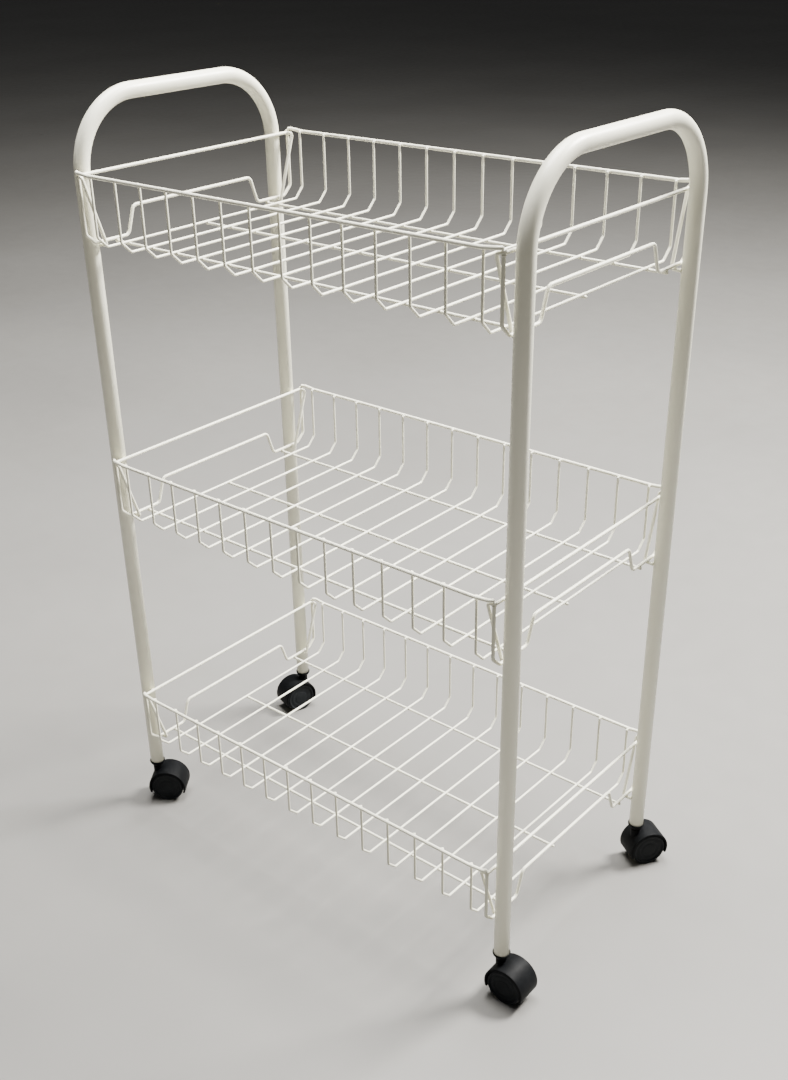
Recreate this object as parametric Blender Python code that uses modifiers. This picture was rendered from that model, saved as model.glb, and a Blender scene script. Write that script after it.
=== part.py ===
"""Three-tier wire pantry cart on swivel casters. Metres, +Z up, floor at z = 0, X along the baskets."""
import math

import bmesh
import bpy
from mathutils import Matrix, Vector

GAP = 0.0003

# Sides of round pieces: bevel resolutions of the swept wires, then segments of the turned pieces.
TUBE_SMOOTHNESS = 6
WIRE_SMOOTHNESS = 2
FINE_WIRE_SMOOTHNESS = 1
WHEEL_SIDES = 20
HOOD_SIDES = 32
NECK_SIDES = 20
SOCKET_SIDES = 16
STEM_SIDES = 16
AXLE_SIDES = 12

# Side frames: one tube each, bent into an upside-down U in a plane of constant X.
TUBE_R = 0.008
TUBE_BORE_R = 0.0068
LEG_X = 0.2616
LEG_Y = 0.1317
LEG_END_Z = 0.0515
ARCH_TOP_Z = 0.8219
ARCH_BEND_R = 0.0705
ARCH_STEPS = 8

# Baskets, measured from the middle of the rim wires.
TIERS = {"top": 0.7584, "middle": 0.4599, "bottom": 0.1617}
RIM_R = 0.0018
RIM_Y = 0.1488
RIM_END_X = 0.2515
RIM_CURL = 0.0042
RIM_CURL_DEPTH = 0.75
RIM_BEND_R = 0.0040
RIM_SAG = 0.0015
RIM_SAG_RUN = 0.0150
CROSS_R = 0.0013
CROSS_COUNT = 14
CROSS_PITCH = 0.03572
CROSS_Y = RIM_Y - RIM_R - CROSS_R - GAP
CROSS_RISE = 0.0008
CROSS_BEND_R = 0.0035
WALL_DROP = 0.060
FLOOR_DROP = 0.071
FLOOR_Y = 0.1343
RUNNER_R = 0.0015
RUNNER_SINK = 0.0006
RUNNER_DROP = FLOOR_DROP + CROSS_R + RUNNER_R - RUNNER_SINK
RUNNER_Y = 0.1070
RUNNER_END_X = 0.2530
MID_RUNNER_END_X = CROSS_PITCH * (CROSS_COUNT - 1) / 2 + 0.0035

# Hangers: the bar between the legs, its two slanting arms and their hooks.
HANGER_R = 0.0017
HANGER_X = LEG_X - TUBE_R - HANGER_R - GAP - 0.0001
HANGER_DROP = RIM_R + HANGER_R + GAP
HANGER_BAR_Y = 0.1455
ARM_TOP_X = 0.2444
ARM_TOP_Y = 0.1463
ARM_FOOT_X = 0.2463
ARM_FOOT_DROP = 0.0736
HOOK_Y = 0.1243
HOOK_TIP_X = 0.2552
HOOK_TIP_DROP = 0.0740
HANGER_SAG = 0.0004
HANGER_BEND_R = 0.0030

# End wires: the cross-wire shape with the middle of the floor run raised.
END_R = 0.0017
END_X = 0.2505
END_Y = 0.1452
END_TOP_DROP = HANGER_DROP + HANGER_R + GAP
END_FLOOR_DROP = RUNNER_DROP - RUNNER_R - END_R - GAP
END_RAISED_DROP = 0.0420
END_RISE_LOW_Y = 0.0920
END_RISE_TOP_Y = 0.0825
END_BEND_R = 0.0060

# Casters: x is the trailing direction and y the axle, from the swivel axis on the floor.
WHEEL_R = 0.0195
WHEEL_INNER_Y = 0.0031
WHEEL_WIDTH = 0.0114
HUB_POCKET = 0.0080
TREAD_EDGE = 0.0010
DISC_EDGE = 0.0014
DISC_RIM = 0.0030
DISC_DEPTH = 0.0010
TRAIL = 0.0123
AXLE_R = 0.0016
AXLE_BORE_R = 0.0019
AXLE_HALF = 0.0104
HOOD_R = 0.0227
HOOD_HALF = 0.0153
HOOD_CAVITY_R = 0.0204
HOOD_WEB_HALF = 0.0027
HOOD_EDGE = 0.0010
HOOD_LIP_Z = 0.0122
NECK_R = 0.0056
NECK_TOP_Z = 0.0446
NECK_EDGE = 0.0008
STEM_R = 0.0034
STEM_BORE_R = 0.0037
STEM_FOOT_Z = 0.0394
STEM_TOP_Z = 0.0692
STEM_EDGE = 0.0006
CUP_FOOT_Z = 0.0450
CUP_FOOT_R = 0.0056
CUP_WAIST_Z = 0.0464
CUP_WAIST_R = 0.0068
CUP_FLARE_Z = 0.0500
CUP_FLARE_R = 0.0090
CUP_RIM_Z = 0.0520
CUP_RIM_R = 0.0092
CUP_LIP_R = 0.0085
CUP_SEAT_R = 0.0083
PLUG_R = 0.0065
PLUG_TOP_Z = 0.0702
CASTERS = {
    "front_right": (1, -1, 1.5),
    "front_left": (-1, -1, 36.0),
    "back_right": (1, 1, 57.0),
    "back_left": (-1, 1, -106.9),
}


def clear_scene():
    for obj in list(bpy.data.objects):
        bpy.data.objects.remove(obj, do_unlink=True)


def new_collection(name):
    group = bpy.data.collections.new(name)
    bpy.context.scene.collection.children.link(group)
    return group


def material_for(name, color, roughness, metallic=0.0):
    material = bpy.data.materials.new(name)
    material.use_nodes = True
    shader = material.node_tree.nodes["Principled BSDF"]
    shader.inputs["Base Color"].default_value = (*color, 1.0)
    shader.inputs["Roughness"].default_value = roughness
    shader.inputs["Metallic"].default_value = metallic
    return material


def add_part(name, mesh, look, location=(0, 0, 0), turn=0.0):
    """One named piece with its own material; its origin is `location`, turned about Z."""
    obj = bpy.data.objects.new(name, mesh.copy())
    obj.data.name = name
    obj.data.materials.clear()
    obj.data.materials.append(material_for(name, *LOOKS[look]))
    obj.matrix_world = Matrix.Translation(location) @ Matrix.Rotation(turn, 4, "Z")
    PARTS.objects.link(obj)
    return obj


def add_helper(name, mesh):
    obj = bpy.data.objects.new(name, mesh)
    obj.hide_render = True
    obj.display_type = "WIRE"
    HELPERS.objects.link(obj)
    return obj


def frozen(obj):
    """The object's evaluated shape as a new mesh, with doubled points welded."""
    bpy.context.view_layer.update()
    graph = bpy.context.evaluated_depsgraph_get()
    mesh = bpy.data.meshes.new_from_object(obj.evaluated_get(graph), depsgraph=graph)
    shape = bmesh.new()
    shape.from_mesh(mesh)
    bmesh.ops.remove_doubles(shape, verts=shape.verts, dist=1e-6)
    bmesh.ops.recalc_face_normals(shape, faces=shape.faces)
    shape.to_mesh(mesh)
    shape.free()
    return mesh


def rounded(points, radius, steps):
    """The path with each inner corner replaced by `steps` + 1 points of an arc."""
    path = [Vector(points[0])]
    for before, corner, after in zip(points, points[1:], points[2:]):
        corner = Vector(corner)
        back = (Vector(before) - corner).normalized()
        on = (Vector(after) - corner).normalized()
        half = back.angle(on) / 2
        reach = radius / math.tan(half)
        middle = corner + (back + on).normalized() * radius / math.sin(half)
        start = corner + back * reach - middle
        end = corner + on * reach - middle
        turn = start.angle(end)
        for step in range(steps + 1):
            share = step / steps
            low = math.sin((1 - share) * turn) / math.sin(turn)
            high = math.sin(share * turn) / math.sin(turn)
            path.append(middle + start * low + end * high)
    path.append(Vector(points[-1]))
    return path


def swept(name, paths, radius, resolution):
    """Closed round wires along the paths, as one mesh."""
    curve = bpy.data.curves.new(name, "CURVE")
    curve.dimensions = "3D"
    curve.bevel_depth = radius
    curve.bevel_resolution = resolution
    curve.use_fill_caps = True
    for path in paths:
        spline = curve.splines.new("POLY")
        spline.points.add(len(path) - 1)
        for point, place in zip(spline.points, path):
            point.co = (*place, 1.0)
    obj = bpy.data.objects.new(name, curve)
    HELPERS.objects.link(obj)
    mesh = frozen(obj)
    bpy.data.objects.remove(obj, do_unlink=True)
    return mesh


def revolved(name, profile, segments, closed):
    """The (radius, height) profile screwed about Z. A closed profile is a ring."""
    mesh = bpy.data.meshes.new(name)
    count = len(profile)
    edges = [(i, i + 1) for i in range(count - 1)]
    if closed:
        edges.append((count - 1, 0))
    mesh.from_pydata([(r, 0.0, z) for r, z in profile], edges, [])
    obj = add_helper(name, mesh)
    screw = obj.modifiers.new("screw", "SCREW")
    screw.axis = "Z"
    screw.steps = segments
    screw.render_steps = segments
    screw.use_merge_vertices = True
    screw.merge_threshold = 1e-5
    screw.use_smooth_shade = False
    result = frozen(obj)
    bpy.data.objects.remove(obj, do_unlink=True)
    return result


def cylinder(radius, low, high, segments, edge=0.0):
    """A solid cylinder about Z, its rims rounded by `edge`."""
    profile = [(0, low), (radius - edge, low), (radius, low + edge), (radius, high - edge)]
    profile += [(radius - edge, high), (0, high)]
    if not edge:
        profile = [(0, low), (radius, low), (radius, high), (0, high)]
    return revolved("cylinder", profile, segments, False)


def box(low, high):
    mesh = bpy.data.meshes.new("box")
    shape = bmesh.new()
    size = [b - a for a, b in zip(low, high)]
    middle = [(a + b) / 2 for a, b in zip(low, high)]
    place = Matrix.Translation(middle) @ Matrix.Diagonal((*size, 1.0))
    bmesh.ops.create_cube(shape, size=1.0, matrix=place)
    shape.to_mesh(mesh)
    shape.free()
    return mesh


def moved(mesh, matrix):
    mesh.transform(matrix)
    return mesh


def combined(name, base, tools):
    """The base mesh after each (operation, mesh) Boolean in turn, kept as helpers."""
    body = add_helper(name, base)
    for number, (operation, mesh) in enumerate(tools):
        tool = add_helper(f"{name}_{operation.lower()}_{number}", mesh)
        step = body.modifiers.new(tool.name, "BOOLEAN")
        step.operation = operation
        step.solver = "EXACT"
        step.object = tool
    return frozen(body)


def arch_path(end_z, radius_steps):
    corners = [
        (0, -LEG_Y, end_z),
        (0, -LEG_Y, ARCH_TOP_Z),
        (0, LEG_Y, ARCH_TOP_Z),
        (0, LEG_Y, end_z),
    ]
    return rounded(corners, ARCH_BEND_R, radius_steps)


def side_frame_mesh():
    outside = swept("tube", [arch_path(LEG_END_Z, ARCH_STEPS)], TUBE_R, TUBE_SMOOTHNESS)
    below = LEG_END_Z - TUBE_R
    bore = swept("bore", [arch_path(below, ARCH_STEPS)], TUBE_BORE_R, TUBE_SMOOTHNESS)
    return combined("side_frame", outside, [("DIFFERENCE", bore)])


def cross_wire_path(x):
    """Down the front wall, across the floor and up the back wall."""
    top = (x, -CROSS_Y, CROSS_RISE - RIM_SAG)
    front = [top, (x, -CROSS_Y, -WALL_DROP), (x, -FLOOR_Y, -FLOOR_DROP)]
    back = [(x, -y, z) for x, y, z in reversed(front)]
    return rounded(front + back, CROSS_BEND_R, 1)


def grid_mesh():
    middle = (CROSS_COUNT - 1) / 2
    paths = [cross_wire_path((i - middle) * CROSS_PITCH) for i in range(CROSS_COUNT)]
    runners = []
    for y, end in ((-RUNNER_Y, RUNNER_END_X), (0, MID_RUNNER_END_X), (RUNNER_Y, RUNNER_END_X)):
        runners.append([(-end, y, -RUNNER_DROP), (end, y, -RUNNER_DROP)])
    wires = swept("cross_wires", paths, CROSS_R, FINE_WIRE_SMOOTHNESS)
    rails = swept("runners", runners, RUNNER_R, FINE_WIRE_SMOOTHNESS)
    return combined("grid", wires, [("UNION", rails)])


def rim_mesh(side):
    """A rim wire whose ends rise a little and curl in over the hanger bars."""
    end = (RIM_END_X, side * (RIM_Y - RIM_CURL * RIM_CURL_DEPTH), 0)
    bend = (RIM_END_X - RIM_CURL, side * RIM_Y, 0)
    level = (RIM_END_X - RIM_CURL - RIM_SAG_RUN, side * RIM_Y, -RIM_SAG)
    tip = rounded([end, bend, level], RIM_BEND_R, 2)
    path = tip + [Vector((-x, y, z)) for x, y, z in reversed(tip)]
    return swept("rim", [path], RIM_R, WIRE_SMOOTHNESS)


def hanger_mesh(side):
    """The bar and, at each of its ends, the turn-in, the slanting arm and the hook."""
    half = [
        (side * HANGER_X, HANGER_BAR_Y, -HANGER_DROP),
        (side * ARM_TOP_X, ARM_TOP_Y, -HANGER_DROP - HANGER_SAG),
        (side * ARM_FOOT_X, HOOK_Y, -ARM_FOOT_DROP),
        (side * HOOK_TIP_X, HOOK_Y, -HOOK_TIP_DROP),
    ]
    mirrored = [(x, -y, z) for x, y, z in reversed(half)]
    path = rounded(mirrored + half, HANGER_BEND_R, 2)
    return swept("hanger", [path], HANGER_R, WIRE_SMOOTHNESS)


def end_wire_mesh(side):
    x = side * END_X
    half = [
        (x, -END_Y, -END_TOP_DROP),
        (x, -END_Y, -WALL_DROP),
        (x, -FLOOR_Y, -END_FLOOR_DROP),
        (x, -END_RISE_LOW_Y, -END_FLOOR_DROP),
        (x, -END_RISE_TOP_Y, -END_RAISED_DROP),
    ]
    mirrored = [(x, -y, z) for x, y, z in reversed(half)]
    path = rounded(half + mirrored, END_BEND_R, 2)
    return swept("end_wire", [path], END_R, FINE_WIRE_SMOOTHNESS)


def wheel_mesh():
    """A twin-caster wheel about Z: inner face at z = 0, a recessed disc on the outer face."""
    disc_z = WHEEL_WIDTH - DISC_DEPTH
    profile = [
        (0, HUB_POCKET),
        (AXLE_BORE_R, HUB_POCKET),
        (AXLE_BORE_R, 0),
        (WHEEL_R - TREAD_EDGE, 0),
        (WHEEL_R, TREAD_EDGE),
        (WHEEL_R, WHEEL_WIDTH - DISC_EDGE),
        (WHEEL_R - DISC_EDGE, WHEEL_WIDTH),
        (WHEEL_R - DISC_RIM, WHEEL_WIDTH),
        (WHEEL_R - DISC_RIM - DISC_DEPTH, disc_z),
        (0, disc_z),
    ]
    return revolved("wheel", profile, WHEEL_SIDES, False)


def hood_mesh():
    """The caster body: a hood over both wheels, a web between them and the swivel neck."""
    lay = Matrix.Translation((TRAIL, 0, WHEEL_R)) @ Matrix.Rotation(math.pi / 2, 4, "X")
    shell = moved(cylinder(HOOD_R, -HOOD_HALF, HOOD_HALF, HOOD_SIDES, HOOD_EDGE), lay)
    tools = [("UNION", cylinder(NECK_R, WHEEL_R, NECK_TOP_Z, NECK_SIDES, NECK_EDGE))]
    past = HOOD_HALF + HOOD_R - HOOD_CAVITY_R
    for side in (-1, 1):
        ends = sorted((side * HOOD_WEB_HALF, side * past))
        cavity = moved(cylinder(HOOD_CAVITY_R, *ends, HOOD_SIDES), lay)
        tools.append(("DIFFERENCE", cavity))
    reach = TRAIL + 2 * HOOD_R
    below = box((-reach, -reach, -reach), (reach, reach, HOOD_LIP_Z))
    tools.append(("DIFFERENCE", below))
    web = 2 * HOOD_WEB_HALF
    tools.append(("DIFFERENCE", moved(cylinder(AXLE_BORE_R, -web, web, AXLE_SIDES), lay)))
    stem_hole = cylinder(STEM_BORE_R, STEM_FOOT_Z - GAP, NECK_TOP_Z + STEM_R, STEM_SIDES)
    tools.append(("DIFFERENCE", stem_hole))
    return combined("hood", shell, tools)


def socket_mesh():
    """The plug in the tube end with the flared cup that the tube stands in."""
    profile = [
        (STEM_BORE_R, CUP_FOOT_Z),
        (CUP_FOOT_R, CUP_FOOT_Z),
        (CUP_WAIST_R, CUP_WAIST_Z),
        (CUP_FLARE_R, CUP_FLARE_Z),
        (CUP_RIM_R, CUP_RIM_Z),
        (CUP_LIP_R, CUP_RIM_Z),
        (CUP_SEAT_R, LEG_END_Z - GAP),
        (PLUG_R, LEG_END_Z - GAP),
        (PLUG_R, PLUG_TOP_Z),
        (STEM_BORE_R, PLUG_TOP_Z),
    ]
    return revolved("socket", profile, SOCKET_SIDES, True)


def build_frames():
    mesh = side_frame_mesh()
    for name, side in (("left", -1), ("right", 1)):
        add_part(f"side_frame_{name}", mesh, "white", (side * LEG_X, 0, 0))


def build_baskets():
    grid = grid_mesh()
    for tier, height in TIERS.items():
        place = (0, 0, height)
        add_part(f"{tier}_basket_grid", grid, "white", place)
        for name, side in (("front", -1), ("back", 1)):
            add_part(f"{tier}_basket_rim_{name}", rim_mesh(side), "white", place)
        for name, side in (("left", -1), ("right", 1)):
            add_part(f"{tier}_basket_hanger_{name}", hanger_mesh(side), "white", place)
            add_part(f"{tier}_basket_end_wire_{name}", end_wire_mesh(side), "white", place)


def build_casters():
    socket = socket_mesh()
    hood = hood_mesh()
    stem = cylinder(STEM_R, STEM_FOOT_Z, STEM_TOP_Z, STEM_SIDES, STEM_EDGE)
    lay = Matrix.Rotation(math.pi / 2, 4, "X")
    axle = moved(cylinder(AXLE_R, -AXLE_HALF, AXLE_HALF, AXLE_SIDES), lay)
    wheel = moved(wheel_mesh(), lay @ Matrix.Translation((0, 0, WHEEL_INNER_Y)))
    for name, (side_x, side_y, degrees) in CASTERS.items():
        turn = math.radians(degrees)
        foot = Vector((side_x * LEG_X, side_y * LEG_Y, 0))
        hub = foot + Matrix.Rotation(turn, 3, "Z") @ Vector((TRAIL, 0, WHEEL_R))
        add_part(f"caster_{name}_socket", socket, "black", foot)
        add_part(f"caster_{name}_stem", stem, "steel", foot, turn)
        add_part(f"caster_{name}_hood", hood, "black", foot, turn)
        add_part(f"caster_{name}_axle", axle, "steel", hub, turn)
        add_part(f"caster_{name}_wheel_a", wheel, "tread", hub, turn)
        add_part(f"caster_{name}_wheel_b", wheel, "tread", hub, turn + math.pi)


LOOKS = {
    "white": ((0.86, 0.85, 0.81), 0.38),
    "black": ((0.015, 0.015, 0.017), 0.42),
    "tread": ((0.02, 0.02, 0.021), 0.50),
    "steel": ((0.62, 0.63, 0.65), 0.30, 1.0),
}

clear_scene()
PARTS = new_collection("pantry_cart")
HELPERS = new_collection("pantry_cart_cutters")
HELPERS.hide_render = True
build_frames()
build_baskets()
build_casters()
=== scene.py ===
import math

import bmesh
import bpy
from mathutils import Matrix, Vector


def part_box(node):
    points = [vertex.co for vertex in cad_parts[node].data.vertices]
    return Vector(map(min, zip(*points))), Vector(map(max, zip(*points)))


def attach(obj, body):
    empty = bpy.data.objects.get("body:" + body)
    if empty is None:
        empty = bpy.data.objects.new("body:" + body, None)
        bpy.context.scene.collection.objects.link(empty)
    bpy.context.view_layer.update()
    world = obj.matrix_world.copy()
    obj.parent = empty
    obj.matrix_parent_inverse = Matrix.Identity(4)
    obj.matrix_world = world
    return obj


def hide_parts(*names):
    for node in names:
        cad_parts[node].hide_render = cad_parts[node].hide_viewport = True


# The looks of the pantry cart: smooth wires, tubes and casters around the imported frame.
# Lengths are in metres, in the frame's own axes: +Z up from the floor, +X along the baskets.
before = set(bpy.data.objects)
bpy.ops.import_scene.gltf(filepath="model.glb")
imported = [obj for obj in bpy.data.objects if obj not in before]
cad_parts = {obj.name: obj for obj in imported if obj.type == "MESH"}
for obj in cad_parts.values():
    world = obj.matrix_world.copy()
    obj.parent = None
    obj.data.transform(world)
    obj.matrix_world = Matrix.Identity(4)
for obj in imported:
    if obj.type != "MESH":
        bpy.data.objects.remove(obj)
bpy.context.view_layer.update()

TIERS = ("top", "middle", "bottom")
CASTERS = ("front_left", "front_right", "back_left", "back_right")

# Fineness of the round pieces.
TUBE_SMOOTHNESS = 14
WIRE_SMOOTHNESS = 6
FINE_WIRE_SMOOTHNESS = 4
BEND_STEPS = 8
TIP_STEPS = 4
TIP_START = 0.25
FILLET_STEPS = 4
TURNED_SIDES = 96
PIN_SIDES = 32
BEAD_FINENESS = 2
WELD_DISTANCE = 1e-6

# Angles over which an edge is shown sharp.
TUBE_CREASE = 40.0
WIRE_CREASE = 50.0
CASTER_CREASE = 35.0

# Bends and places inside the wire pieces that their boxes don't give.
TUBE_WALL = 0.0012
ARCH_BEND_R = 0.0705
ARCH_STEPS = 28
CROSS_COUNT = 14
CROSS_PITCH = 0.03572
CROSS_R = 0.0013
CROSS_BEND_R = 0.0038
CROSS_BEND_STEPS = 5
CROSS_RISE = 0.0008
WALL_DROP = 0.060
FLOOR_DROP = 0.071
FLOOR_Y = 0.1343
RUNNER_R = 0.0015
RUNNER_SINK = 0.0006
RUNNER_Y = 0.1070
MID_RUNNER_SPARE = 0.0035
RIM_CURL = 0.0042
RIM_CURL_DEPTH = 0.75
RIM_BEND_R = 0.0040
RIM_R = 0.0018
RIM_SAG = 0.0015
RIM_SAG_RUN = 0.0150
HANGER_R = 0.0017
HANGER_BAR_Y = 0.1455
HANGER_SAG = 0.0004
HANGER_BEND_R = 0.0032
HANGER_SLACK = 0.0001
ARM_TOP_X = 0.2444
ARM_TOP_Y = 0.1463
ARM_FOOT_X = 0.2463
ARM_FOOT_DROP = 0.0736
HOOK_Y = 0.1243
HOOK_TIP_X = 0.2552
HOOK_TIP_DROP = 0.0740
END_RAISED_DROP = 0.0420
END_RISE_LOW_Y = 0.0920
END_RISE_TOP_Y = 0.0825
END_BEND_R = 0.0062
GAP = 0.0003

# Half sizes of the weld beads along X, Y and Z.
FLOOR_WELD = (0.0019, 0.0019, 0.0011)
RIM_WELD = (0.0019, 0.0011, 0.0016)
RIM_END_WELD = (0.0018, 0.0022, 0.0012)
LEG_WELD = (0.0008, 0.0034, 0.0015)
HOOK_WELD = (0.0012, 0.0022, 0.0022)
HOOK_WELD_OUT = 0.0005
END_TOP_WELD = (0.0022, 0.0022, 0.0013)
END_FOOT_WELD = (0.0022, 0.0021, 0.0012)

# Casters.
WHEEL_R = 0.0195
WHEEL_INNER_Y = 0.0031
WHEEL_WIDTH = 0.0114
WHEEL_EDGE_R = 0.0012
WHEEL_OUTER_EDGE_R = 0.0013
HUB_DEPTH = 0.0080
DISC_LIP = 0.0026
DISC_SLOPE = 0.0006
DISC_SINK = 0.0011
TREAD_SKIN = 0.0006
# (reach, depth) of the steps on a wheel's disc, from its lip to its centre.
DISC_STEPS = (
    (0.0138, 0.0011),
    (0.0136, 0.0009),
    (0.0110, 0.0009),
    (0.0108, 0.0011),
    (0.0080, 0.0011),
    (0.0078, 0.0008),
)
DISC_STEP_R = 0.0001
TRAIL = 0.0123
AXLE_R = 0.0016
AXLE_HALF = 0.0104
AXLE_BORE_R = 0.0019
HOOD_R = 0.0227
HOOD_HALF = 0.0153
HOOD_CAVITY_R = 0.0204
HOOD_WEB_HALF = 0.0027
HOOD_LIP_Z = 0.0122
HOOD_EDGE_R = 0.0011
INNER_EDGE_R = 0.0006
SMALL_EDGE_R = 0.0003
FINE_EDGE_R = 0.0002
HOOD_SEAM = 0.0005
HOOD_SEAM_ANGLE = 38.0
HOOD_SEAM_STEPS = 3
NECK_EDGE_R = 0.0009
NECK_FOOT_Z = 0.0315
NECK_R = 0.0056
STEM_R = 0.0034
STEM_BORE_R = 0.0037
PLUG_R = 0.0065
CUP_FOOT_R = 0.0056
CUP_WAIST_Z = 0.0464
CUP_WAIST_R = 0.0068
CUP_FLARE_Z = 0.0500
CUP_FLARE_R = 0.0090
CUP_RIM_Z = 0.0520
CUP_RIM_R = 0.0092
CUP_LIP_R = 0.0085
CUP_SEAT_R = 0.0083
CUP_SEAM_RISE = 0.0020
# Radius of each corner of the socket's profile, in the profile's order.
SOCKET_EDGES = (0, 0.0003, 0.0008, 0.0030, 0.0012, 0.0003, 0.0002, 0, 0, 0.0006, 0.0003, 0)


def middle(node):
    low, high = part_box(node)
    return (low + high) / 2


def half(node):
    low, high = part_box(node)
    return (high - low) / 2


# Places read from the frame.
LEG_X = middle("side_frame_right").x
TUBE_R = half("side_frame_right").x
LEG_Y = half("side_frame_right").y - TUBE_R
ARCH_TOP_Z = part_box("side_frame_right")[1].z - TUBE_R
LEG_END_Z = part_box("side_frame_right")[0].z
RIM_HEIGHT = {tier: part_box(f"{tier}_basket_rim_front")[1].z - RIM_R for tier in TIERS}
RIM_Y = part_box("top_basket_rim_back")[1].y - RIM_R
CROSS_Y = RIM_Y - RIM_R - CROSS_R - GAP
HANGER_X = LEG_X - TUBE_R - HANGER_R - GAP - HANGER_SLACK
RIM_END_X = HANGER_X
RUNNER_END_X = half("top_basket_grid").x
MID_RUNNER_END_X = CROSS_PITCH * (CROSS_COUNT - 1) / 2 + MID_RUNNER_SPARE
RUNNER_DROP = FLOOR_DROP + CROSS_R + RUNNER_R - RUNNER_SINK
HANGER_DROP = RIM_R + HANGER_R + GAP
END_R = half("top_basket_end_wire_left").x
END_X = middle("top_basket_end_wire_right").x
END_Y = half("top_basket_end_wire_right").y - END_R
END_TOP_DROP = HANGER_DROP + HANGER_R + GAP
END_FLOOR_DROP = RUNNER_DROP - RUNNER_R - END_R - GAP
STEM_FOOT_Z, STEM_TOP_Z = (corner.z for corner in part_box("caster_front_left_stem"))
CUP_FOOT_Z, PLUG_TOP_Z = (corner.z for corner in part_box("caster_front_left_socket"))
NECK_TOP_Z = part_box("caster_front_left_hood")[1].z


# ---------------------------------------------------------------- materials


def value(node_tree, kind, **settings):
    """A new node with its settings; inputs are given by name with spaces as underscores."""
    node = node_tree.nodes.new(kind)
    for name, setting in settings.items():
        socket = node.inputs.get(name.replace("_", " "))
        if socket is None:
            setattr(node, name, setting)
        else:
            socket.default_value = setting
    return node


def noise(tree, scale, detail=2.0, roughness=0.5):
    place = value(tree, "ShaderNodeTexCoord")
    made = value(tree, "ShaderNodeTexNoise", Scale=scale, Detail=detail, Roughness=roughness)
    tree.links.new(place.outputs["Object"], made.inputs["Vector"])
    return made.outputs["Fac"]


def ramp(tree, source, stops):
    """A colour ramp over `source`; stops are (position, colour)."""
    made = value(tree, "ShaderNodeValToRGB")
    bands = made.color_ramp
    while len(bands.elements) < len(stops):
        bands.elements.new(0.5)
    for element, (position, color) in zip(bands.elements, stops):
        element.position = position
        element.color = (*color, 1.0)
    tree.links.new(source, made.inputs["Fac"])
    return made.outputs["Color"]


def spread(tree, source, low, high, from_low=0.3, from_high=0.7):
    made = value(tree, "ShaderNodeMapRange", clamp=True)
    for name, number in (
        ("From Min", from_low),
        ("From Max", from_high),
        ("To Min", low),
        ("To Max", high),
    ):
        made.inputs[name].default_value = number
    tree.links.new(source, made.inputs["Value"])
    return made.outputs["Result"]


def bumped(tree, layers):
    """Bump nodes in a chain; each layer is (height, strength, distance)."""
    normal = None
    for height, strength, distance in layers:
        made = value(tree, "ShaderNodeBump", Strength=strength, Distance=distance)
        tree.links.new(height, made.inputs["Height"])
        if normal is not None:
            tree.links.new(normal, made.inputs["Normal"])
        normal = made.outputs["Normal"]
    return normal


def surface(name, metallic=0.0, coat=0.0, coat_roughness=0.1, specular=0.5):
    material = bpy.data.materials.new(name)
    material.use_nodes = True
    tree = material.node_tree
    shader = tree.nodes["Principled BSDF"]
    shader.inputs["Metallic"].default_value = metallic
    shader.inputs["Coat Weight"].default_value = coat
    shader.inputs["Coat Roughness"].default_value = coat_roughness
    shader.inputs["Specular IOR Level"].default_value = specular
    return material, tree, shader


def white_coat():
    """Satin powder coat: orange peel, faint tone changes and a few rubbed, glossier patches."""
    material, tree, shader = surface("white_powder_coat")
    tone = ramp(
        tree,
        noise(tree, 7.0, 4.0),
        [(0.30, (0.83, 0.812, 0.665)), (0.70, (0.87, 0.852, 0.715))],
    )
    tree.links.new(tone, shader.inputs["Base Color"])
    tree.links.new(spread(tree, noise(tree, 55.0, 3.0), 0.30, 0.44), shader.inputs["Roughness"])
    peel = bumped(
        tree,
        [(noise(tree, 620.0, 2.0), 0.10, 0.0002), (noise(tree, 1900.0, 1.0), 0.05, 0.0001)],
    )
    tree.links.new(peel, shader.inputs["Normal"])
    return material


def moulded_plastic(name, dark, dusty, rough_low, rough_high, grain):
    """Black moulded plastic with a spark-eroded grain, handling shine and a little dust."""
    material, tree, shader = surface(name, specular=0.07)
    color = ramp(tree, noise(tree, 90.0, 5.0, 0.65), [(0.42, dark), (0.78, dusty)])
    tree.links.new(color, shader.inputs["Base Color"])
    rough = spread(tree, noise(tree, 130.0, 3.0), rough_low, rough_high)
    tree.links.new(rough, shader.inputs["Roughness"])
    height = bumped(
        tree,
        [(noise(tree, 2600.0, 2.0), grain, 0.00012), (noise(tree, 300.0, 2.0), 0.10, 0.0002)],
    )
    tree.links.new(height, shader.inputs["Normal"])
    return material


def plain_steel():
    material, tree, shader = surface("plain_steel", metallic=1.0)
    tone = ramp(
        tree,
        noise(tree, 160.0, 4.0),
        [(0.35, (0.46, 0.46, 0.47)), (0.65, (0.62, 0.62, 0.63))],
    )
    tree.links.new(tone, shader.inputs["Base Color"])
    tree.links.new(spread(tree, noise(tree, 700.0, 3.0), 0.24, 0.42), shader.inputs["Roughness"])
    return material


def floor_finish():
    material, tree, shader = surface("pale_floor", specular=0.35)
    tone = ramp(
        tree,
        noise(tree, 1.6, 4.0),
        [(0.30, (0.175, 0.170, 0.160)), (0.70, (0.200, 0.195, 0.184))],
    )
    tree.links.new(tone, shader.inputs["Base Color"])
    tree.links.new(spread(tree, noise(tree, 25.0, 3.0), 0.46, 0.56), shader.inputs["Roughness"])
    return material


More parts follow.
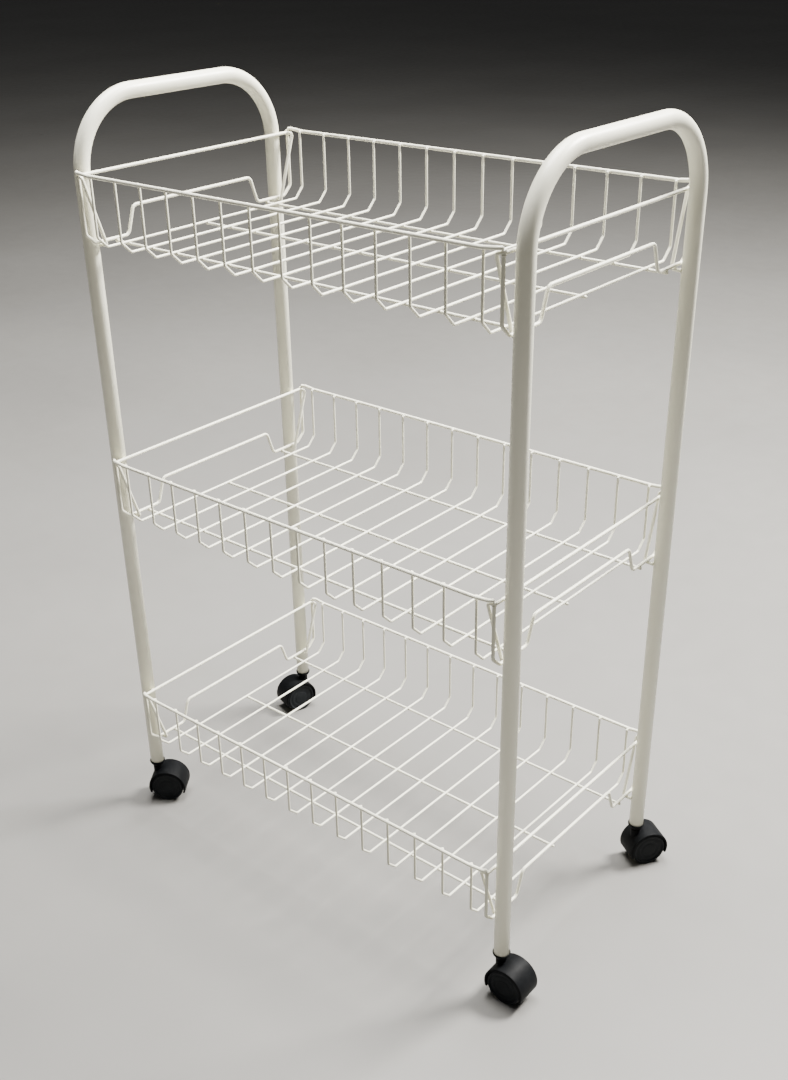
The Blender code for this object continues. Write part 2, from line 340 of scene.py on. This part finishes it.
COAT = white_coat()
HOOD_PLASTIC = moulded_plastic(
    "hood_plastic", (0.0038, 0.0042, 0.0048), (0.0074, 0.0079, 0.0088), 0.50, 0.60, 0.12
)
DISC_PLASTIC = moulded_plastic(
    "wheel_plastic", (0.0125, 0.0142, 0.0160), (0.0190, 0.0212, 0.0236), 0.42, 0.54, 0.10
)
TREAD_PLASTIC = moulded_plastic(
    "tread_plastic", (0.020, 0.020, 0.020), (0.055, 0.053, 0.050), 0.55, 0.72, 0.35
)
STEEL = plain_steel()


# ---------------------------------------------------------------- shapes


def frozen(obj):
    """The object's evaluated shape as a new mesh, with doubled points welded."""
    bpy.context.view_layer.update()
    graph = bpy.context.evaluated_depsgraph_get()
    mesh = bpy.data.meshes.new_from_object(obj.evaluated_get(graph), depsgraph=graph)
    shape = bmesh.new()
    shape.from_mesh(mesh)
    bmesh.ops.remove_doubles(shape, verts=shape.verts, dist=WELD_DISTANCE)
    bmesh.ops.recalc_face_normals(shape, faces=shape.faces)
    shape.to_mesh(mesh)
    shape.free()
    return mesh


def rounded(points, radius, steps=BEND_STEPS):
    """The path with each inner corner replaced by `steps` + 1 points of an arc."""
    path = [Vector(points[0])]
    for before, corner, after in zip(points, points[1:], points[2:]):
        corner = Vector(corner)
        back = (Vector(before) - corner).normalized()
        on = (Vector(after) - corner).normalized()
        opening = back.angle(on) / 2
        reach = radius / math.tan(opening)
        centre = corner + (back + on).normalized() * radius / math.sin(opening)
        start = corner + back * reach - centre
        end = corner + on * reach - centre
        turn = start.angle(end)
        for step in range(steps + 1):
            share = step / steps
            low = math.sin((1 - share) * turn) / math.sin(turn)
            high = math.sin(share * turn) / math.sin(turn)
            path.append(centre + start * low + end * high)
    path.append(Vector(points[-1]))
    return path


def with_tips(path, radius):
    """(place, radius share) along the path, with its two ends drawn in to round tips."""
    first = (path[1] - path[0]).normalized()
    last = (path[-2] - path[-1]).normalized()
    tip = []
    for step in range(TIP_STEPS):
        angle = math.pi / 2 * (step + TIP_START) / TIP_STEPS
        tip.append((radius * (1 - math.cos(angle)), math.sin(angle)))
    tip.append((radius, 1.0))
    start = [(path[0] + first * reach, share) for reach, share in tip]
    end = [(path[-1] + last * reach, share) for reach, share in reversed(tip)]
    return start + [(place, 1.0) for place in path[1:-1]] + end


def swept(name, paths, radius, smoothness, tips=True):
    """Round wires along the paths, as one mesh."""
    curve = bpy.data.curves.new(name, "CURVE")
    curve.dimensions = "3D"
    curve.bevel_depth = radius
    curve.bevel_resolution = smoothness
    curve.use_fill_caps = tips
    for path in paths:
        points = with_tips(path, radius) if tips else [(place, 1.0) for place in path]
        spline = curve.splines.new("POLY")
        spline.points.add(len(points) - 1)
        for point, (place, share) in zip(spline.points, points):
            point.co = (*place, 1.0)
            point.radius = share
    obj = bpy.data.objects.new(name, curve)
    bpy.context.scene.collection.objects.link(obj)
    mesh = frozen(obj)
    bpy.data.objects.remove(obj, do_unlink=True)
    return mesh


def revolved(name, profile, closed=False, sides=TURNED_SIDES):
    """The (radius, height) profile turned about Z. A closed profile is a ring."""
    mesh = bpy.data.meshes.new(name)
    count = len(profile)
    edges = [(i, i + 1) for i in range(count - 1)]
    if closed:
        edges.append((count - 1, 0))
    mesh.from_pydata([(r, 0.0, z) for r, z in profile], edges, [])
    obj = bpy.data.objects.new(name, mesh)
    bpy.context.scene.collection.objects.link(obj)
    screw = obj.modifiers.new("screw", "SCREW")
    screw.steps = sides
    screw.render_steps = sides
    screw.use_merge_vertices = True
    screw.merge_threshold = WELD_DISTANCE
    result = frozen(obj)
    bpy.data.objects.remove(obj, do_unlink=True)
    return result


def filleted(profile, radii, steps=FILLET_STEPS):
    """A (radius, height) profile with each inner corner rounded by its own radius."""
    points = [Vector((r, 0, z)) for r, z in profile]
    path = [points[0]]
    for i in range(1, len(points) - 1):
        if radii[i] <= 0:
            path.append(points[i])
        else:
            path += rounded(points[i - 1 : i + 2], radii[i], steps)[1:-1]
    path.append(points[-1])
    return [(p.x, p.z) for p in path]


def beads(name, places, radii):
    """Small weld beads, ellipsoids with those radii, as one mesh."""
    shape = bmesh.new()
    for place in places:
        matrix = Matrix.Translation(place) @ Matrix.Diagonal((*radii, 1.0))
        bmesh.ops.create_icosphere(shape, subdivisions=BEAD_FINENESS, radius=1.0, matrix=matrix)
    mesh = bpy.data.meshes.new(name)
    shape.to_mesh(mesh)
    shape.free()
    return mesh


def merged(name, meshes):
    """The meshes in one, each kept as it is."""
    shape = bmesh.new()
    for mesh in meshes:
        shape.from_mesh(mesh)
    result = bpy.data.meshes.new(name)
    shape.to_mesh(result)
    shape.free()
    return result


def piece(name, mesh, material, body, node, crease=TUBE_CREASE):
    """A shown piece in place of a CAD node."""
    obj = bpy.data.objects.new(name, mesh)
    bpy.context.scene.collection.objects.link(obj)
    if not mesh.materials:
        mesh.materials.append(material)
    mesh.shade_smooth()
    mesh.set_sharp_from_angle(angle=math.radians(crease))
    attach(obj, body)
    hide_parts(node)
    return obj


# ---------------------------------------------------------------- side frames


def arch_path():
    corners = [
        (0, -LEG_Y, LEG_END_Z),
        (0, -LEG_Y, ARCH_TOP_Z),
        (0, LEG_Y, ARCH_TOP_Z),
        (0, LEG_Y, LEG_END_Z),
    ]
    return rounded(corners, ARCH_BEND_R, ARCH_STEPS)


def build_frames():
    for name, side in (("left", -1), ("right", 1)):
        mesh = swept(f"frame_{name}", [arch_path()], TUBE_R, TUBE_SMOOTHNESS, tips=False)
        mesh.transform(Matrix.Translation((side * LEG_X, 0, 0)))
        tube = piece(
            f"side_tube_{name}", mesh, COAT, "cart", f"side_frame_{name}"
        )
        wall = tube.modifiers.new("wall", "SOLIDIFY")
        wall.thickness = TUBE_WALL
        wall.offset = -1.0


# ---------------------------------------------------------------- baskets


def cross_wire_path(x):
    """Down the front wall, across the floor and up the back wall."""
    top = (x, -CROSS_Y, CROSS_RISE - RIM_SAG)
    front = [top, (x, -CROSS_Y, -WALL_DROP), (x, -FLOOR_Y, -FLOOR_DROP)]
    back = [(x, -y, z) for x, y, z in reversed(front)]
    return rounded(front + back, CROSS_BEND_R, CROSS_BEND_STEPS)


def cross_wire_xs():
    centre = (CROSS_COUNT - 1) / 2
    return [(i - centre) * CROSS_PITCH for i in range(CROSS_COUNT)]


def runner_paths():
    for y, end in ((-RUNNER_Y, RUNNER_END_X), (0, MID_RUNNER_END_X), (RUNNER_Y, RUNNER_END_X)):
        yield [Vector((-end, y, -RUNNER_DROP)), Vector((end, y, -RUNNER_DROP))]


def grid_mesh(tier):
    """Cross wires, runners and the weld beads that join them to each other and to the rims."""
    paths = [cross_wire_path(x) for x in cross_wire_xs()]
    wires = swept("cross", paths, CROSS_R, FINE_WIRE_SMOOTHNESS)
    rails = swept("runners", runner_paths(), RUNNER_R, FINE_WIRE_SMOOTHNESS)
    joints = []
    for x in cross_wire_xs():
        for y in (-RUNNER_Y, 0, RUNNER_Y):
            joints.append((x, y, -FLOOR_DROP - CROSS_R))
    floor_beads = beads("floor_beads", joints, FLOOR_WELD)
    joints = []
    for x in cross_wire_xs():
        for side in (-1, 1):
            joints.append((x, side * (CROSS_Y + CROSS_R), -RIM_SAG))
    rim_beads = beads("rim_beads", joints, RIM_WELD)
    return merged(f"{tier}_grid", [wires, rails, floor_beads, rim_beads])


def rim_mesh(side):
    """A rim wire whose ends rise a little and curl in over the hanger bars."""
    end = (RIM_END_X, side * (RIM_Y - RIM_CURL * RIM_CURL_DEPTH), 0)
    bend = (RIM_END_X - RIM_CURL, side * RIM_Y, 0)
    level = (RIM_END_X - RIM_CURL - RIM_SAG_RUN, side * RIM_Y, -RIM_SAG)
    tip = rounded([end, bend, level], RIM_BEND_R)
    path = tip + [Vector((-x, y, z)) for x, y, z in reversed(tip)]
    wire = swept("rim", [path], RIM_R, WIRE_SMOOTHNESS)
    places = [(x, end[1], -RIM_R) for x in (-end[0], end[0])]
    return merged("rim", [wire, beads("rim_ends", places, RIM_END_WELD)])


def hanger_mesh(side):
    """The bar and, at each of its ends, the turn-in, the slanting arm and the hook."""
    path = [
        (side * HANGER_X, HANGER_BAR_Y, -HANGER_DROP),
        (side * ARM_TOP_X, ARM_TOP_Y, -HANGER_DROP - HANGER_SAG),
        (side * ARM_FOOT_X, HOOK_Y, -ARM_FOOT_DROP),
        (side * HOOK_TIP_X, HOOK_Y, -HOOK_TIP_DROP),
    ]
    mirrored = [(x, -y, z) for x, y, z in reversed(path)]
    wire = swept("hanger", [rounded(mirrored + path, HANGER_BEND_R)], HANGER_R, WIRE_SMOOTHNESS)
    legs = [(side * HANGER_X, y, -HANGER_DROP) for y in (-LEG_Y, LEG_Y)]
    legs = [(x + side * HANGER_R, y, z) for x, y, z in legs]
    feet = [(side * HOOK_TIP_X, y, -HOOK_TIP_DROP) for y in (-HOOK_Y, HOOK_Y)]
    feet = [(x, y + math.copysign(HOOK_WELD_OUT, y), z) for x, y, z in feet]
    top = beads("bar_welds", legs, LEG_WELD)
    foot = beads("hook_welds", feet, HOOK_WELD)
    return merged("hanger", [wire, top, foot])


def end_wire_mesh(side):
    x = side * END_X
    path = [
        (x, -END_Y, -END_TOP_DROP),
        (x, -END_Y, -WALL_DROP),
        (x, -FLOOR_Y, -END_FLOOR_DROP),
        (x, -END_RISE_LOW_Y, -END_FLOOR_DROP),
        (x, -END_RISE_TOP_Y, -END_RAISED_DROP),
    ]
    mirrored = [(x, -y, z) for x, y, z in reversed(path)]
    wire = swept("end_wire", [rounded(path + mirrored, END_BEND_R)], END_R, WIRE_SMOOTHNESS)
    tops = [(x, y, -END_TOP_DROP) for y in (-END_Y, END_Y)]
    feet = [(x, y, -RUNNER_DROP + RUNNER_R) for y in (-RUNNER_Y, RUNNER_Y)]
    top = beads("top_welds", tops, END_TOP_WELD)
    foot = beads("runner_welds", feet, END_FOOT_WELD)
    return merged("end_wire", [wire, top, foot])


def build_baskets():
    for tier in TIERS:
        lift = Matrix.Translation((0, 0, RIM_HEIGHT[tier]))
        made = {f"{tier}_basket_grid": grid_mesh(tier)}
        for name, side in (("front", -1), ("back", 1)):
            made[f"{tier}_basket_rim_{name}"] = rim_mesh(side)
        for name, side in (("left", -1), ("right", 1)):
            made[f"{tier}_basket_hanger_{name}"] = hanger_mesh(side)
            made[f"{tier}_basket_end_wire_{name}"] = end_wire_mesh(side)
        for node, mesh in made.items():
            mesh.transform(lift)
            name = node.replace("_basket", "").replace("grid", "cross_wires")
            piece(name, mesh, COAT, "cart", node, WIRE_CREASE)


# ---------------------------------------------------------------- casters


def wheel_mesh():
    """A wheel about Z with its inner face at z = 0: tread, dished outer disc and a hub cap."""
    outer = WHEEL_WIDTH
    profile = [
        (0, HUB_DEPTH),
        (AXLE_BORE_R, HUB_DEPTH),
        (AXLE_BORE_R, 0),
        (WHEEL_R, 0),
        (WHEEL_R, outer),
        (WHEEL_R - DISC_LIP, outer),
        (WHEEL_R - DISC_LIP - DISC_SLOPE, outer - DISC_SINK),
    ]
    radii = [0, 0, FINE_EDGE_R, WHEEL_EDGE_R, WHEEL_OUTER_EDGE_R, SMALL_EDGE_R, SMALL_EDGE_R]
    for reach, depth in DISC_STEPS:
        profile.append((reach, outer - depth))
        radii.append(DISC_STEP_R)
    profile.append((0, outer - DISC_STEPS[-1][1]))
    radii.append(0)
    mesh = revolved("wheel", filleted(profile, radii))
    mesh.materials.append(DISC_PLASTIC)
    mesh.materials.append(TREAD_PLASTIC)
    for face in mesh.polygons:
        centre = face.center
        rolling = math.hypot(centre.x, centre.y) > WHEEL_R - TREAD_SKIN
        level = WHEEL_EDGE_R < centre.z < outer - WHEEL_OUTER_EDGE_R
        face.material_index = int(rolling and level)
    return mesh


def hood_mesh():
    """The caster body about its swivel axis: drum, web, cut-off lip and swivel neck."""
    ring = [
        (AXLE_BORE_R, -HOOD_WEB_HALF),
        (HOOD_CAVITY_R, -HOOD_WEB_HALF),
        (HOOD_CAVITY_R, -HOOD_HALF),
        (HOOD_R, -HOOD_HALF),
        (HOOD_R, HOOD_HALF),
        (HOOD_CAVITY_R, HOOD_HALF),
        (HOOD_CAVITY_R, HOOD_WEB_HALF),
        (AXLE_BORE_R, HOOD_WEB_HALF),
    ]
    side = [INNER_EDGE_R, SMALL_EDGE_R, HOOD_EDGE_R]
    radii = [0] + side + side[::-1] + [0]
    mesh = revolved("drum", filleted(ring, radii), closed=True)
    lay = Matrix.Translation((TRAIL, 0, WHEEL_R)) @ Matrix.Rotation(math.pi / 2, 4, "X")
    mesh.transform(lay)
    shape = bmesh.new()
    shape.from_mesh(mesh)
    everything = shape.verts[:] + shape.edges[:] + shape.faces[:]
    cut = bmesh.ops.bisect_plane(
        shape, geom=everything, plane_co=(0, 0, HOOD_LIP_Z), plane_no=(0, 0, -1), clear_outer=True
    )
    edges = [part for part in cut["geom_cut"] if isinstance(part, bmesh.types.BMEdge)]
    bmesh.ops.holes_fill(shape, edges=edges)
    bmesh.ops.recalc_face_normals(shape, faces=shape.faces)
    shape.to_mesh(mesh)
    shape.free()
    neck = [
        (0, NECK_FOOT_Z),
        (NECK_R, NECK_FOOT_Z),
        (NECK_R, NECK_TOP_Z),
        (STEM_BORE_R, NECK_TOP_Z),
        (STEM_BORE_R, STEM_FOOT_Z - GAP),
        (0, STEM_FOOT_Z - GAP),
    ]
    post = revolved("neck", filleted(neck, [0, 0, NECK_EDGE_R, SMALL_EDGE_R, 0, 0]))
    drum = bpy.data.objects.new("drum", mesh)
    neck_obj = bpy.data.objects.new("neck", post)
    for obj in (drum, neck_obj):
        bpy.context.scene.collection.objects.link(obj)
    join = drum.modifiers.new("join", "BOOLEAN")
    join.operation = "UNION"
    join.object = neck_obj
    edge = drum.modifiers.new("edge", "BEVEL")
    edge.width = HOOD_SEAM
    edge.segments = HOOD_SEAM_STEPS
    edge.limit_method = "ANGLE"
    edge.angle_limit = math.radians(HOOD_SEAM_ANGLE)
    result = frozen(drum)
    for obj in (drum, neck_obj):
        bpy.data.objects.remove(obj, do_unlink=True)
    return result


def socket_mesh():
    """The plug in the tube end with the flared cup that the tube stands in."""
    profile = [
        (STEM_BORE_R, CUP_FOOT_Z + CUP_SEAM_RISE),
        (STEM_BORE_R, CUP_FOOT_Z),
        (CUP_FOOT_R, CUP_FOOT_Z),
        (CUP_WAIST_R, CUP_WAIST_Z),
        (CUP_FLARE_R, CUP_FLARE_Z),
        (CUP_RIM_R, CUP_RIM_Z),
        (CUP_LIP_R, CUP_RIM_Z),
        (CUP_SEAT_R, LEG_END_Z - GAP),
        (PLUG_R, LEG_END_Z - GAP),
        (PLUG_R, PLUG_TOP_Z),
        (STEM_BORE_R, PLUG_TOP_Z),
        (STEM_BORE_R, CUP_FOOT_Z + CUP_SEAM_RISE),
    ]
    return revolved("socket", filleted(profile, SOCKET_EDGES))


def pin_mesh(radius, low, high, edge):
    profile = [(0, low), (radius, low), (radius, high), (0, high)]
    return revolved("pin", filleted(profile, [0, edge, edge, 0]), sides=PIN_SIDES)


def caster_place(name):
    """The swivel axis on the floor and the heading of the trailing wheels."""
    foot = middle(f"caster_{name}_socket")
    axle = middle(f"caster_{name}_axle")
    heading = math.atan2(axle.y - foot.y, axle.x - foot.x)
    return Matrix.Translation((foot.x, foot.y, 0)) @ Matrix.Rotation(heading, 4, "Z")


def build_casters():
    lay = Matrix.Translation((TRAIL, 0, WHEEL_R)) @ Matrix.Rotation(math.pi / 2, 4, "X")
    turn = Matrix.Rotation(math.pi, 4, "Y")
    out = Matrix.Translation((0, 0, WHEEL_INNER_Y))
    shapes = {
        "socket": (socket_mesh(), Matrix(), HOOD_PLASTIC, "black_plastic"),
        "hood": (hood_mesh(), Matrix(), HOOD_PLASTIC, "black_plastic"),
        "stem": (
            pin_mesh(STEM_R, STEM_FOOT_Z, STEM_TOP_Z, INNER_EDGE_R), Matrix(), STEEL, "plain_steel"
        ),
        "axle": (pin_mesh(AXLE_R, -AXLE_HALF, AXLE_HALF, SMALL_EDGE_R), lay, STEEL, "plain_steel"),
        "wheel_a": (wheel_mesh(), lay @ out, DISC_PLASTIC, "wheel_plastic"),
        "wheel_b": (wheel_mesh(), lay @ turn @ out, DISC_PLASTIC, "wheel_plastic"),
    }
    for name in CASTERS:
        place = caster_place(name)
        bodies = {
            "socket": "cart",
            "wheel_a": f"wheel_{name}_a",
            "wheel_b": f"wheel_{name}_b",
        }
        for part, (mesh, local, material, slot) in shapes.items():
            copy = mesh.copy()
            copy.transform(place @ local)
            body = bodies.get(part, f"swivel_{name}")
            node = f"caster_{name}_{part}"
            piece(f"{name}_{part}", copy, material, body, node, CASTER_CREASE)


# ---------------------------------------------------------------- stage


FLOOR_HALF = 60.0
FLOOR_CELLS = 8
# Name, place, the point it is aimed at, size, watts and colour of each light.
LIGHTS = (
    ("key", (1.0, 1.8, 2.6), (0, 0, 0.4), 0.9, 430, (1.0, 0.98, 0.94)),
    ("overhead", (-0.2, 0.4, 2.9), (0, 0, 0.3), 1.6, 270, (1.0, 0.99, 0.97)),
    ("fill", (-1.4, -2.4, 1.6), (0, 0, 0.4), 2.4, 2, (0.97, 0.98, 1.0)),
)


def build_floor():
    shape = bmesh.new()
    bmesh.ops.create_grid(shape, x_segments=FLOOR_CELLS, y_segments=FLOOR_CELLS, size=FLOOR_HALF)
    mesh = bpy.data.meshes.new("floor")
    shape.to_mesh(mesh)
    shape.free()
    floor = bpy.data.objects.new("floor", mesh)
    bpy.context.scene.collection.objects.link(floor)
    mesh.materials.append(floor_finish())


def area_light(name, place, target, size, watts, color):
    lamp = bpy.data.lights.new(name, "AREA")
    lamp.shape = "DISK"
    lamp.size = size
    lamp.energy = watts
    lamp.color = color
    obj = bpy.data.objects.new(name, lamp)
    bpy.context.scene.collection.objects.link(obj)
    obj.location = place
    obj.rotation_euler = (Vector(target) - Vector(place)).to_track_quat("-Z", "Y").to_euler()


def build_lights():
    for light in LIGHTS:
        area_light(*light)
    world = bpy.data.worlds.new("studio")
    world.use_nodes = True
    sky = world.node_tree.nodes["Background"]
    sky.inputs["Color"].default_value = (0.93, 0.94, 0.95, 1.0)
    sky.inputs["Strength"].default_value = 0.06
    bpy.context.scene.world = world


def build_camera():
    """A camera in front and to the right of the cart, a metre up, looking down at it."""
    azimuth = math.radians(40.934)
    tilt = math.radians(29.429)
    roll = math.radians(-1.306)
    camera = bpy.data.cameras.new("camera")
    camera.sensor_width = 36.0
    camera.lens = 43.086
    camera.shift_x = 0.0131
    camera.shift_y = 0.0631
    camera.clip_start = 0.05
    camera.clip_end = 60.0
    obj = bpy.data.objects.new("camera", camera)
    bpy.context.scene.collection.objects.link(obj)
    level = Matrix.Rotation(azimuth, 4, "Z") @ Matrix.Rotation(math.pi / 2 - tilt, 4, "X")
    place = Matrix.Translation((0.8074, -0.9365, 0.9978))
    obj.matrix_world = place @ level @ Matrix.Rotation(roll, 4, "Z")
    bpy.context.scene.camera = obj


build_camera()
build_frames()
build_baskets()
build_casters()
build_floor()
build_lights()
